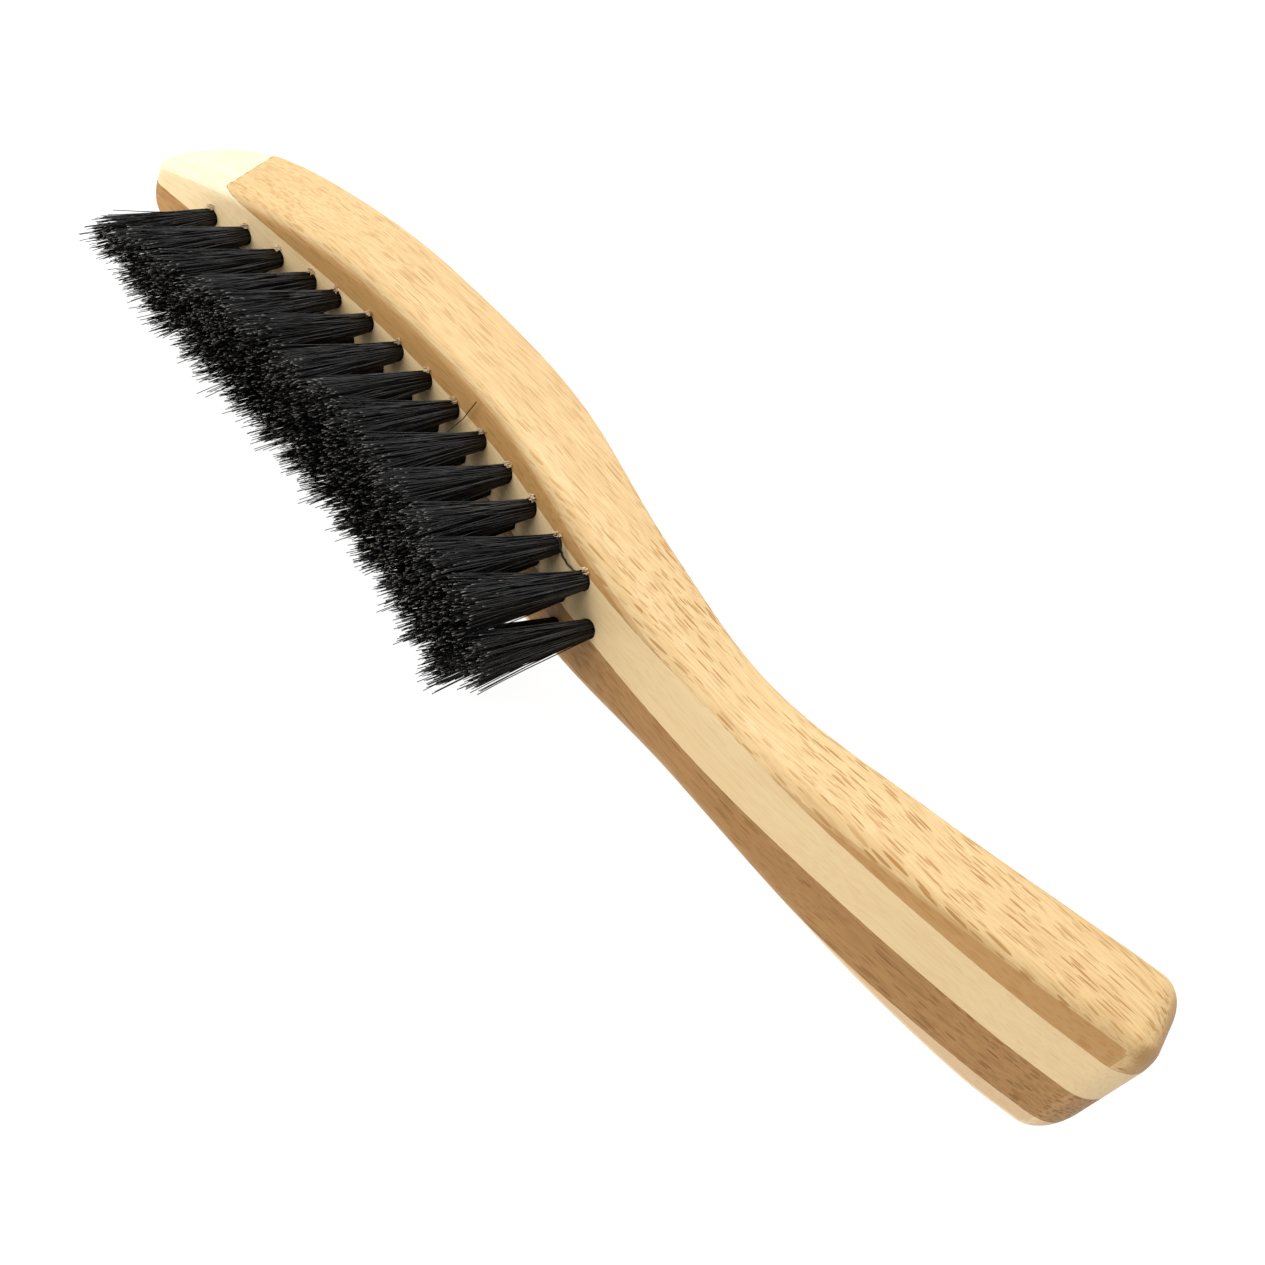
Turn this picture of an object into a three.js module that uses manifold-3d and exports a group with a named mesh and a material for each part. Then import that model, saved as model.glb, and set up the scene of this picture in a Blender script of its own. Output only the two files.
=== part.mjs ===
// Curved bamboo beard brush with black bristle, lying on its side.
// Millimetres, +Z up. +X runs from the head tip to the handle end, the bristle points to -Y, and Z is
// the thickness of the laminated board. The brush stands on the flat of its lowest ply.
import * as THREE from 'three';
import { ParametricGeometry } from 'three/addons/geometries/ParametricGeometry.js';
import { mergeVertices } from 'three/addons/utils/BufferGeometryUtils.js';
import Module from 'manifold-3d';

// ---- driving dimensions ----
const profileLength = 174.5;        // from the datum just off the tip to the handle end
const tipSetback = 1.3;             // the rounded tip starts this far from the datum
const topPlyThickness = 4.55;
const plyThickness = 6.0;           // the core ply and the lower ply
const bottomPlyThickness = 3.15;
const waistCover = 1.25;            // upper ply left over the core at the waist
const waistGap = 0.15;              // the waist cuts this far past the lowest glue line
const tipUpperHalf = 1.6;           // mid-board to upper side, where the round of the tip begins
const tipLowerHalf = 4.5;
const tipUpperShoulder = 5.3;       // the same a little way in from the tip
const tipLowerShoulder = 7.8;
const headThickness = 16.9;         // bristle face to back, middle of the head
const neckThickness = 13.5;
const handleThickness = 14.9;
const edgeRadius = 2.1;             // round along every long edge
const neckEdgeRadius = 3.6;         // softer in the waist
const tipEdgeRadius = 1.6;          // crisper at the tip
const tipUpperRound = 0.95;         // round of the tip to the upper side
const tipLowerRound = 4.0;          // and to the lower side
const tipBackRound = 13.0;          // profile round, back of the tip
const tipFrontRound = 1.8;          // profile round, bristle side of the tip
const tipEndDepth = 0.5;            // small flat left where the two rounds meet
const tipSlant = 0.53;              // the tip is shaped across a slant: length over depth
const slantPivot = 6.0;             // depth where the slant moves nothing
const slantFull = 15.0;             // full slant from the tip to here
const slantEnd = 45.0;              // and none from here on
const endRound = 4.4;               // round at the handle end

const tuftDiameter = 2.2;
const tuftClearance = 0.3;          // hole wall and hole floor to tuft
const tuftDepth = 5.0;
const tuftWall = 0.2;               // least wood between two holes
const bristleLength = 19.0;         // out of the head, after trimming
const tuftFlare = 0.22;             // growth of the tuft radius at the trimmed end
const rowPitch = 6.02;
const rowSpacing = 4.1;             // near, middle and far rows
const fieldCentre = 0.1;            // middle row, above the middle of the board
const firstTuft = 17.0;             // single tuft at the tip
const lastTuft = 93.8;              // last pair before the neck
const tipPairs = 3;                 // pairs spaced from the tip tuft
const mainPairs = 10;               // pairs spaced back from the last one
const middleSetback = 2.0;          // middle row, toward the tip from its pair
const middleFirst = 1;              // first pair with a middle tuft beside it
const rowTaperEnd = 45.5;           // the outer rows run parallel from here to the neck
const rowTaper = 0.11;              // how fast they close up toward the tip
const tipLean = 10.5;               // lean of the tufts in degrees, toward the handle
const neckLean = -9.0;

const boardThickness = topPlyThickness + 2 * plyThickness + bottomPlyThickness;
const halfBoard = boardThickness / 2;
const glueTop = halfBoard - topPlyThickness;
const glueMiddle = glueTop - plyThickness;
const glueLow = glueMiddle - plyThickness;

// ---- smooth outlines along the brush ----
// A curve through a few stations, as [share of the length, value].
function outline(stations) {
  const xs = stations.map((s) => s[0] * profileLength);
  const ys = stations.map((s) => s[1]);
  const last = xs.length - 1;
  const slope = xs.map((x, i) => {
    const a = Math.max(i - 1, 0);
    const b = Math.min(i + 1, last);
    return (ys[b] - ys[a]) / (xs[b] - xs[a]);
  });
  return (x) => {
    let i = 0;
    while (i < last - 1 && x > xs[i + 1]) i += 1;
    const h = xs[i + 1] - xs[i];
    const t = (x - xs[i]) / h;
    const a = (2 * t - 3) * t * t + 1;
    const b = ((t - 2) * t + 1) * t * h;
    const c = (3 - 2 * t) * t * t;
    const d = (t - 1) * t * t * h;
    return a * ys[i] + b * slope[i] + c * ys[i + 1] + d * slope[i + 1];
  };
}

const faceLine = outline([[0, -3.6], [0.13, -0.7], [0.29, 1.6], [0.41, 0.3], [0.54, -4.8],
  [0.68, -7.3], [0.81, -6.1], [0.92, -3.4], [1, 0]]);
const backGap = outline([[0, headThickness - 3.3], [0.13, headThickness + 0.3], [0.29, headThickness],
  [0.42, headThickness - 0.7], [0.55, neckThickness + 1.2], [0.68, neckThickness], [0.8, neckThickness + 0.6],
  [0.92, handleThickness - 0.2], [1, handleThickness]]);

// From mid-board out to one side: three values at the tip, and what the waist leaves there.
function sideLine(tip, shoulder, wide, neckHalf) {
  const between = (halfBoard + neckHalf) / 2;
  return outline([[0, tip], [0.077, shoulder], [0.13, wide], [0.2, halfBoard - 0.55], [0.25, halfBoard],
    [0.38, halfBoard], [0.47, halfBoard - 0.8], [0.57, between - 0.4], [0.67, neckHalf],
    [0.8, between - 0.25], [0.9, halfBoard - 0.55], [0.95, halfBoard], [1, halfBoard]]);
}

const upperLine = sideLine(tipUpperHalf, tipUpperShoulder, halfBoard - 2.5, glueTop + waistCover);
const lowerLine = sideLine(tipLowerHalf, tipLowerShoulder, halfBoard - 1.9, -glueLow - waistGap);
const edgeLine = outline([[0, tipEdgeRadius], [0.1, tipEdgeRadius], [0.2, edgeRadius], [0.45, edgeRadius],
  [0.65, neckEdgeRadius], [0.85, edgeRadius], [1, edgeRadius]]);

// How far a rounded end pulls in, at a distance d from the end.
function endInset(d, radius) {
  if (d >= radius) return 0;
  return radius - Math.sqrt(radius * radius - (radius - d) * (radius - d));
}

// Upper and lower side, bristle face, back and edge radius of the brush at x.
function section(x) {
  const toTip = x - tipSetback;
  const end = endInset(profileLength - x, endRound);
  const upper = Math.min(upperLine(x), halfBoard) - endInset(toTip, tipUpperRound) - end;
  const lower = Math.min(lowerLine(x), halfBoard) - endInset(toTip, tipLowerRound) - end;
  const front = faceLine(x) + endInset(toTip, tipFrontRound) + end;
  const back = Math.max(faceLine(x) + backGap(x) - endInset(toTip, tipBackRound) - end, front + tipEndDepth);
  const radius = Math.min(edgeLine(x), 0.95 * Math.min(upper, lower), 0.45 * (back - front));
  return { upper, lower, front, back, radius };
}

// Near the tip a section leans back: how far the point at depth y is moved toward the tip.
function slantShift(x, y) {
  const share = (slantEnd - x) / (slantEnd - slantFull);
  return tipSlant * Math.min(Math.max(share, 0), 1) * (y - slantPivot);
}

// Depth of the bristle face at a true x, found through the leaning sections.
function faceAt(x) {
  let from = x;
  for (let i = 0; i < 6; i += 1) from = x + slantShift(from, faceLine(from));
  return faceLine(from);
}

// ---- solids ----
const wasm = await Module();
wasm.setup();

function toSolid(geometry) {
  const plain = geometry.clone();
  plain.deleteAttribute('normal');
  plain.deleteAttribute('uv');
  const merged = mergeVertices(plain, 1e-4);
  const index = merged.index.array;
  const kept = [];
  for (let i = 0; i < index.length; i += 3) {
    const [a, b, c] = [index[i], index[i + 1], index[i + 2]];
    if (a !== b && b !== c && c !== a) kept.push(a, b, c);
  }
  return new wasm.Manifold(new wasm.Mesh({
    numProp: 3,
    vertProperties: Float32Array.from(merged.attributes.position.array),
    triVerts: Uint32Array.from(kept),
  }));
}

function toGeometry(solid) {
  const mesh = solid.getMesh();
  const geometry = new THREE.BufferGeometry();
  geometry.setAttribute('position', new THREE.BufferAttribute(Float32Array.from(mesh.vertProperties), 3));
  geometry.setIndex(new THREE.BufferAttribute(Uint32Array.from(mesh.triVerts), 1));
  geometry.computeVertexNormals();
  return geometry;
}

// The whole wooden body: a rounded rectangle carried along the brush, closed by a fan at each end.
const cornerSteps = 4;
const sectionPoints = 4 * (cornerSteps + 1);
const bodySteps = 44;

function sectionPoint(x, k) {
  const s = section(x);
  const corner = Math.floor(k / (cornerSteps + 1)) % 4;
  const angle = (corner + (k % (cornerSteps + 1)) / cornerSteps) * Math.PI / 2;
  const middleY = (s.front + s.back) / 2;
  const halfY = (s.back - s.front) / 2 - s.radius;
  const signY = corner === 0 || corner === 3 ? 1 : -1;
  const cornerZ = corner < 2 ? s.upper - s.radius : s.radius - s.lower;
  const y = middleY + signY * halfY + s.radius * Math.cos(angle);
  return new THREE.Vector3(x - slantShift(x, y), y, cornerZ + s.radius * Math.sin(angle));
}

// Stations are closer together at the two rounded ends.
function stationX(step) {
  const endSteps = 7;
  const tipEnd = tipSetback + tipBackRound;
  const lengthLeft = profileLength - tipEnd - endRound;
  if (step < endSteps) return tipEnd - tipBackRound * Math.cos(step / endSteps * Math.PI / 2);
  if (step > bodySteps - endSteps) {
    return profileLength - endRound * (1 - Math.cos((bodySteps - step) / endSteps * Math.PI / 2));
  }
  return tipEnd + lengthLeft * (step - endSteps) / (bodySteps - 2 * endSteps);
}

function bodyGeometry() {
  const rings = bodySteps + 2;
  const surface = (u, v, target) => {
    const ring = Math.round(v * rings);
    const x = stationX(Math.min(Math.max(ring - 1, 0), bodySteps));
    if (ring === 0 || ring === rings) {
      const s = section(x);
      const y = (s.front + s.back) / 2;
      target.set(x - slantShift(x, y), y, 0);
    } else {
      target.copy(sectionPoint(x, Math.round(u * sectionPoints) % sectionPoints));
    }
  };
  return new ParametricGeometry(surface, sectionPoints, rings);
}

// A block from z = low to z = high that covers the brush in plan.
function slab(low, high) {
  const reach = profileLength * 2;
  const geometry = new THREE.BoxGeometry(reach, reach, high - low);
  geometry.translate(profileLength / 2, 0, (low + high) / 2);
  return toSolid(geometry);
}

// ---- bristle field ----
// Two tufts stand at least this far apart, middle to middle.
const leastApart = tuftDiameter + 2 * Math.max(tuftFlare, tuftClearance) + tuftWall;

// The outer rows close up toward the tip.
function rowOffset(x) {
  return Math.max(rowSpacing - rowTaper * Math.max(rowTaperEnd - x, 0), leastApart / 2);
}

// How far a middle tuft stands back from its pair at x, clear of both.
function middleBack(x) {
  const clear = leastApart * leastApart - rowOffset(x) * rowOffset(x);
  return Math.max(middleSetback, Math.sqrt(Math.max(clear, 0)));
}

const pairX = [];
for (let i = 1; i <= tipPairs; i += 1) pairX.push(firstTuft + i * rowPitch);
for (let i = mainPairs - 1; i >= 0; i -= 1) pairX.push(lastTuft - i * rowPitch);

// Every tuft as {name, x, z}.
const tufts = [{ name: 'tuft_tip', x: firstTuft, z: fieldCentre + 0.4 }];
pairX.forEach((x, i) => {
  const number = String(i + 1).padStart(2, '0');
  tufts.push({ name: `tuft_near_${number}`, x, z: fieldCentre + rowOffset(x) });
  tufts.push({ name: `tuft_far_${number}`, x, z: fieldCentre - rowOffset(x) });
  if (i >= middleFirst) {
    tufts.push({ name: `tuft_middle_${number}`, x: x - middleBack(x), z: fieldCentre });
  }
});
tufts.push({ name: 'tuft_neck', x: lastTuft - middleSetback + rowPitch, z: fieldCentre });

function leanAt(x) {
  const share = (x - firstTuft) / (lastTuft - firstTuft);
  return THREE.MathUtils.degToRad(tipLean + (neckLean - tipLean) * Math.min(share, 1));
}

// A solid of revolution whose axis starts below the bristle face and points out of the head.
function alongTuft(geometry, tuft) {
  geometry.rotateX(Math.PI);
  geometry.rotateZ(leanAt(tuft.x));
  geometry.translate(tuft.x, faceAt(tuft.x), tuft.z);
  return geometry;
}

function tuftGeometry() {
  const radius = tuftDiameter / 2;
  const profile = [
    new THREE.Vector2(0, tuftClearance - tuftDepth),
    new THREE.Vector2(radius, tuftClearance - tuftDepth),
    new THREE.Vector2(radius, 1),
    new THREE.Vector2(radius + tuftFlare, bristleLength - 0.6),
    new THREE.Vector2(radius, bristleLength),
    new THREE.Vector2(0, bristleLength),
  ];
  return new THREE.LatheGeometry(profile, 12);
}

function holeGeometry() {
  const radius = tuftDiameter / 2 + tuftClearance;
  const length = tuftDepth + 3;
  const geometry = new THREE.CylinderGeometry(radius, radius, length, 16);
  geometry.translate(0, length / 2 - tuftDepth, 0);
  return geometry;
}

// ---- materials ----
function wood(colour) {
  return new THREE.MeshStandardMaterial({ color: colour, roughness: 0.55, metalness: 0 });
}

function bristle() {
  return new THREE.MeshStandardMaterial({ color: 0x15161a, roughness: 0.4, metalness: 0 });
}

// ---- assembly ----
const body = toSolid(bodyGeometry());
let drilled = body;
for (const tuft of tufts) drilled = drilled.subtract(toSolid(alongTuft(holeGeometry(), tuft)));

const brush = new THREE.Group();

function addPly(name, solid, colour) {
  const mesh = new THREE.Mesh(toGeometry(solid), wood(colour));
  mesh.name = name;
  brush.add(mesh);
}

const beyond = boardThickness;
addPly('ply_top', drilled.intersect(slab(glueTop, beyond)), 0xe9c48f);
addPly('ply_core', drilled.intersect(slab(glueMiddle, glueTop)), 0xe6cfa0);
addPly('ply_lower', drilled.intersect(slab(glueLow, glueMiddle)), 0xb98a56);

// The waist cuts the lowest ply in two, so it is left on the head and on the handle end.
const lowest = drilled.intersect(slab(-beyond, glueLow)).decompose();
lowest.sort((a, b) => a.boundingBox().min[0] - b.boundingBox().min[0]);
addPly('ply_bottom_head', lowest[0], 0xe6cfa0);
addPly('ply_bottom_handle', lowest[1], 0xe6cfa0);

for (const tuft of tufts) {
  const mesh = new THREE.Mesh(alongTuft(tuftGeometry(), tuft), bristle());
  mesh.name = tuft.name;
  brush.add(mesh);
}

// The origin is under the middle of the whole brush, on the surface it lies on.
const part = new THREE.Group();
part.add(brush);
const box = new THREE.Box3().setFromObject(brush);
brush.position.set(-(box.min.x + box.max.x) / 2, -(box.min.y + box.max.y) / 2, -box.min.z);

export default part;
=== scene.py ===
import bpy
import bmesh
import math
from mathutils import Matrix, Vector


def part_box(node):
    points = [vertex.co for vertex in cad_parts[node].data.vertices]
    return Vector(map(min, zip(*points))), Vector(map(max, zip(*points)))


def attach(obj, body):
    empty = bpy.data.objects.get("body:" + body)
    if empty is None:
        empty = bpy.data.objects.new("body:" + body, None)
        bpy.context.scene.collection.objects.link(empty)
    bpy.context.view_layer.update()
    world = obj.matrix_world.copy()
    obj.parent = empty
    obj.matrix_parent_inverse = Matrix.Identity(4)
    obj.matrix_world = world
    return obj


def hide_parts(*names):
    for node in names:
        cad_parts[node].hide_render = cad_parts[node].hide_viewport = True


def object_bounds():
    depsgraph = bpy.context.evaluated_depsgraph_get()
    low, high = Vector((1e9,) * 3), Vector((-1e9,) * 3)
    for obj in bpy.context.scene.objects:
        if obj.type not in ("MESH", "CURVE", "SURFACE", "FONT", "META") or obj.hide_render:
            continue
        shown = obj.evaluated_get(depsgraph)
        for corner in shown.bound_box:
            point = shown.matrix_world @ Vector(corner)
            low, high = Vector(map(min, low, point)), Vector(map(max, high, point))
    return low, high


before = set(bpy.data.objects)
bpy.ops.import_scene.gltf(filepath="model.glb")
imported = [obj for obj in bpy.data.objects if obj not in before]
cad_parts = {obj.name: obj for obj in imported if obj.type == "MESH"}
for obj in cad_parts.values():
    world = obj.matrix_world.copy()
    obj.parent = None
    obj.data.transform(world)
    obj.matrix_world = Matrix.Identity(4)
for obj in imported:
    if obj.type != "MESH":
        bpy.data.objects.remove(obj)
cadLow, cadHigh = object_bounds()
mm = 0.001

print("beard brush: frame loaded,", len(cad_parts), "nodes")


# the view: where the camera stands round the brush and how it is tilted, aimed at a point of its shape
view = {"azimuth": 18.32, "elevation": 36.72, "roll": 34.06, "distance": 160.0,
        "aim": (97.305, 10.944, -8.219), "lens": 34.15, "sensor": 36.0}


def makeCamera(view):
    azimuth, elevation, roll = (math.radians(view[key]) for key in ("azimuth", "elevation", "roll"))
    away = Vector((math.sin(azimuth) * math.cos(elevation), -math.cos(azimuth) * math.cos(elevation),
                   math.sin(elevation)))
    level = Vector((math.cos(azimuth), math.sin(azimuth), 0))
    upright = away.cross(level)
    right = level * math.cos(roll) + upright * math.sin(roll)
    up = away.cross(right)
    data = bpy.data.cameras.new("viewCamera")
    data.lens = view["lens"]
    data.sensor_width = view["sensor"]
    data.clip_start = 0.01
    camera = bpy.data.objects.new("viewCamera", data)
    bpy.context.collection.objects.link(camera)
    place = (Vector(view["aim"]) + away * view["distance"]) * mm + shift
    turn = Matrix((right, up, away)).transposed()
    camera.matrix_world = Matrix.Translation(place) @ turn.to_4x4()
    bpy.context.scene.camera = camera
    return camera


# small helpers for building node trees

def addNode(tree, kind, label=None, **settings):
    node = tree.nodes.new(kind)
    if label:
        node.label = label
    for key, value in settings.items():
        setattr(node, key, value)
    return node


def plug(tree, source, target):
    # a number or a colour is typed in, anything else is wired
    if isinstance(source, (int, float, tuple)):
        target.default_value = source
    else:
        tree.links.new(source, target)


def mathNode(tree, operation, a, b=0.0, clamp=False):
    node = addNode(tree, "ShaderNodeMath", operation=operation, use_clamp=clamp)
    plug(tree, a, node.inputs[0])
    plug(tree, b, node.inputs[1])
    return node.outputs[0]


def vectorNode(tree, operation, a, b=(0.0, 0.0, 0.0)):
    node = addNode(tree, "ShaderNodeVectorMath", operation=operation)
    plug(tree, a, node.inputs[0])
    plug(tree, b, node.inputs[1])
    return node.outputs[0]


def fade(tree, value, low, high, start=0.0, end=1.0):
    # smooth step from start to end while the value goes from low to high
    node = addNode(tree, "ShaderNodeMapRange", interpolation_type="SMOOTHSTEP")
    plug(tree, value, node.inputs["Value"])
    plug(tree, low, node.inputs["From Min"])
    plug(tree, high, node.inputs["From Max"])
    plug(tree, start, node.inputs["To Min"])
    plug(tree, end, node.inputs["To Max"])
    return node.outputs["Result"]


def mixColour(tree, amount, a, b, blend="MIX"):
    node = addNode(tree, "ShaderNodeMix", data_type="RGBA", blend_type=blend)
    plug(tree, amount, node.inputs["Factor"])
    plug(tree, a, node.inputs[6])
    plug(tree, b, node.inputs[7])
    return node.outputs[2]


def noise(tree, place, scale, detail=2.0, roughness=0.5, distortion=0.0):
    node = addNode(tree, "ShaderNodeTexNoise")
    plug(tree, place, node.inputs["Vector"])
    node.inputs["Scale"].default_value = scale
    node.inputs["Detail"].default_value = detail
    node.inputs["Roughness"].default_value = roughness
    node.inputs["Distortion"].default_value = distortion
    return node.outputs["Fac"]


def split(tree, vector):
    node = addNode(tree, "ShaderNodeSeparateXYZ")
    plug(tree, vector, node.inputs[0])
    return node.outputs


def join(tree, x, y, z=0.0):
    node = addNode(tree, "ShaderNodeCombineXYZ")
    for source, socket in zip((x, y, z), node.inputs):
        plug(tree, source, socket)
    return node.outputs[0]


def stretch(tree, x, y, z, sizes):
    # the place, scaled by its own factor each way
    return join(tree, *(mathNode(tree, "MULTIPLY", part, size) for part, size in zip((x, y, z), sizes)))


def scaled(tree, vector, amount):
    node = addNode(tree, "ShaderNodeVectorMath", operation="SCALE")
    plug(tree, vector, node.inputs[0])
    plug(tree, amount, node.inputs["Scale"])
    return node.outputs[0]


def newGroup(name, inputs, outputs):
    # inputs: (name, kind, default), outputs: (name, kind)
    group = bpy.data.node_groups.new(name, "ShaderNodeTree")
    for label, kind, value in inputs:
        socket = group.interface.new_socket(label, in_out="INPUT", socket_type=kind)
        if value is not None:
            socket.default_value = value
    for label, kind in outputs:
        group.interface.new_socket(label, in_out="OUTPUT", socket_type=kind)
    return group, addNode(group, "NodeGroupInput").outputs, addNode(group, "NodeGroupOutput").inputs


def newMaterial(name):
    material = bpy.data.materials.new(name)
    material.use_nodes = True
    return material, material.node_tree, material.node_tree.nodes["Principled BSDF"]


def bumpFrom(tree, height, strength, distance, shader):
    bump = addNode(tree, "ShaderNodeBump")
    bump.inputs["Strength"].default_value = strength
    bump.inputs["Distance"].default_value = distance
    plug(tree, height, bump.inputs["Height"])
    plug(tree, bump.outputs[0], shader.inputs["Normal"])


def useGroup(tree, group, **values):
    node = addNode(tree, "ShaderNodeGroup")
    node.node_tree = group
    for key, value in values.items():
        plug(tree, value, node.inputs[key])
    return node.outputs


# the brush's shape, in millimetres: x from the tip to the handle end, y from bristle to back
shape = {"length": 174.5, "tipSetback": 1.3, "board": 19.7, "ply": 6.0, "topGlue": 4.55,
         "head": 16.9, "neck": 13.5, "handle": 14.9, "neckHalf": 6.55, "tipUpper": 1.6, "tipLower": 4.5,
         "upperShoulder": 5.3, "lowerShoulder": 7.8, "edge": 2.1, "neckEdge": 3.6, "tipEdge": 1.6,
         "tipUpperRound": 0.95, "tipLowerRound": 4.0, "tipBackRound": 13.0, "tipFrontRound": 1.8,
         "tipEndDepth": 0.5, "endRound": 4.4, "slant": 0.53, "slantPivot": 6.0, "slantFull": 15.0,
         "slantEnd": 45.0, "rings": 230, "tipRings": 26, "endRings": 16, "cornerSteps": 9}
halfBoard = shape["board"] / 2
glueTop = halfBoard - shape["topGlue"]
glueMiddle = glueTop - shape["ply"]
glueLow = glueMiddle - shape["ply"]


def outline(stations):
    # a smooth curve through a few stations, as (share of the length, value)
    xs = [share * shape["length"] for share, value in stations]
    ys = [value for share, value in stations]
    last = len(xs) - 1
    slope = []
    for i in range(last + 1):
        a, b = max(i - 1, 0), min(i + 1, last)
        slope.append((ys[b] - ys[a]) / (xs[b] - xs[a]))

    def curve(x):
        i = 0
        while i < last - 1 and x > xs[i + 1]:
            i += 1
        h = xs[i + 1] - xs[i]
        t = (x - xs[i]) / h
        return (((2 * t - 3) * t * t + 1) * ys[i] + ((t - 2) * t + 1) * t * h * slope[i]
                + (3 - 2 * t) * t * t * ys[i + 1] + (t - 1) * t * t * h * slope[i + 1])
    return curve


waist = (halfBoard + shape["neckHalf"]) / 2
faceLine = outline([(0, -3.6), (0.13, -0.7), (0.29, 1.6), (0.41, 0.3), (0.54, -4.8), (0.68, -7.3),
                    (0.81, -6.1), (0.92, -3.4), (1, 0)])
backGap = outline([(0, shape["head"] - 3.3), (0.13, shape["head"] + 0.3), (0.29, shape["head"]),
                   (0.42, shape["head"] - 0.7), (0.55, shape["neck"] + 1.2), (0.68, shape["neck"]),
                   (0.8, shape["neck"] + 0.6), (0.92, shape["handle"] - 0.2), (1, shape["handle"])])


def sideLine(tip, shoulder, wide):
    # from mid-board out to one side
    return outline([(0, tip), (0.077, shoulder), (0.13, wide), (0.2, halfBoard - 0.55), (0.25, halfBoard),
                    (0.38, halfBoard), (0.47, halfBoard - 0.8), (0.57, waist - 0.4),
                    (0.67, shape["neckHalf"]),
                    (0.8, waist - 0.25), (0.9, halfBoard - 0.55), (0.95, halfBoard), (1, halfBoard)])


upperLine = sideLine(shape["tipUpper"], shape["upperShoulder"], halfBoard - 2.5)
lowerLine = sideLine(shape["tipLower"], shape["lowerShoulder"], halfBoard - 1.9)
edgeLine = outline([(0, shape["tipEdge"]), (0.1, shape["tipEdge"]), (0.2, shape["edge"]),
                    (0.45, shape["edge"]), (0.65, shape["neckEdge"]), (0.85, shape["edge"]),
                    (1, shape["edge"])])


def endInset(d, radius):
    if d >= radius:
        return 0.0
    return radius - math.sqrt(radius * radius - (radius - d) ** 2)


def slantShift(x, y):
    share = (shape["slantEnd"] - x) / (shape["slantEnd"] - shape["slantFull"])
    return shape["slant"] * min(max(share, 0), 1) * (y - shape["slantPivot"])


def ringPoints(x):
    # one section of the brush, a rounded rectangle that leans back near the tip
    toTip = x - shape["tipSetback"]
    end = endInset(shape["length"] - x, shape["endRound"])
    upper = min(upperLine(x), halfBoard) - endInset(toTip, shape["tipUpperRound"]) - end
    lower = min(lowerLine(x), halfBoard) - endInset(toTip, shape["tipLowerRound"]) - end
    front = faceLine(x) + endInset(toTip, shape["tipFrontRound"]) + end
    back = faceLine(x) + backGap(x) - endInset(toTip, shape["tipBackRound"]) - end
    back = max(back, front + shape["tipEndDepth"])
    radius = min(edgeLine(x), 0.95 * min(upper, lower), 0.45 * (back - front))
    steps = shape["cornerSteps"]
    points = []
    for corner in range(4):
        for step in range(steps + 1):
            angle = (corner + step / steps) * math.pi / 2
            signY = 1 if corner in (0, 3) else -1
            cornerZ = upper - radius if corner < 2 else radius - lower
            y = (front + back) / 2 + signY * ((back - front) / 2 - radius) + radius * math.cos(angle)
            z = cornerZ + radius * math.sin(angle)
            points.append(Vector((x - slantShift(x, y), y, z)))
    return points


def ringPlaces():
    # rings are closer together at the two rounded ends
    tipEnd = shape["tipSetback"] + shape["tipBackRound"]
    handleEnd = shape["length"] - shape["endRound"]
    middle = shape["rings"] - shape["tipRings"] - shape["endRings"]
    places = [tipEnd - shape["tipBackRound"] * math.cos(i / shape["tipRings"] * math.pi / 2)
              for i in range(shape["tipRings"])]
    places += [tipEnd + (handleEnd - tipEnd) * i / middle for i in range(middle)]
    places += [handleEnd + shape["endRound"] * math.sin(i / shape["endRings"] * math.pi / 2)
               for i in range(shape["endRings"] + 1)]
    return places


def bodyMesh():
    mesh = bmesh.new()
    rings = []
    for x in ringPlaces():
        rings.append([mesh.verts.new(point) for point in ringPoints(x)])
    for before, after in zip(rings, rings[1:]):
        for i in range(len(before)):
            j = (i + 1) % len(before)
            mesh.faces.new((before[i], after[i], after[j], before[j]))
    mesh.faces.new(rings[0])
    mesh.faces.new(list(reversed(rings[-1])))
    bmesh.ops.recalc_face_normals(mesh, faces=mesh.faces)
    return mesh


def newPiece(name, mesh, smoothAngle=None):
    data = bpy.data.meshes.new(name)
    mesh.to_mesh(data)
    mesh.free()
    piece = bpy.data.objects.new(name, data)
    bpy.context.collection.objects.link(piece)
    if smoothAngle is not None:
        data.shade_smooth()
        data.set_sharp_from_angle(angle=math.radians(smoothAngle))
    return piece


# where the shape's own x, y, z lie in the brush's frame
body = bodyMesh()
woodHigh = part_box("ply_core")[1]
bodyBack = max(vert.co.y for vert in body.verts)
shift = Vector((cadHigh.x - shape["length"] * mm, woodHigh.y - bodyBack * mm, cadLow.z + halfBoard * mm))
toFrame = Matrix.Translation(shift) @ Matrix.Scale(mm, 4)
makeCamera(view)
print("camera placed")

# the tufts: each one's middle is the middle of its CAD solid
tuft = {"radius": 1.1, "length": 19.0, "inside": 4.7, "holeRadius": 1.3, "holeDepth": 5.0, "holeSides": 28,
        "tipLean": 10.5, "neckLean": -9.0, "firstX": 17.0, "lastX": 93.8}


def tuftPlaces():
    places = []
    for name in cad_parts:
        if not name.startswith("tuft_"):
            continue
        low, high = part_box(name)
        middle = ((low + high) / 2 - shift) / mm
        share = (middle.x - tuft["firstX"]) / (tuft["lastX"] - tuft["firstX"])
        lean = math.radians(tuft["tipLean"] + (tuft["neckLean"] - tuft["tipLean"]) * min(max(share, 0), 1))
        out = Vector((math.sin(lean), -math.cos(lean), 0))
        mouth = middle - out * (tuft["length"] - tuft["inside"]) / 2
        places.append({"name": name, "mouth": mouth, "out": out, "lean": lean})
    places.sort(key=lambda one: (one["mouth"].x, one["mouth"].z))
    return places


tufts = tuftPlaces()


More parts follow.
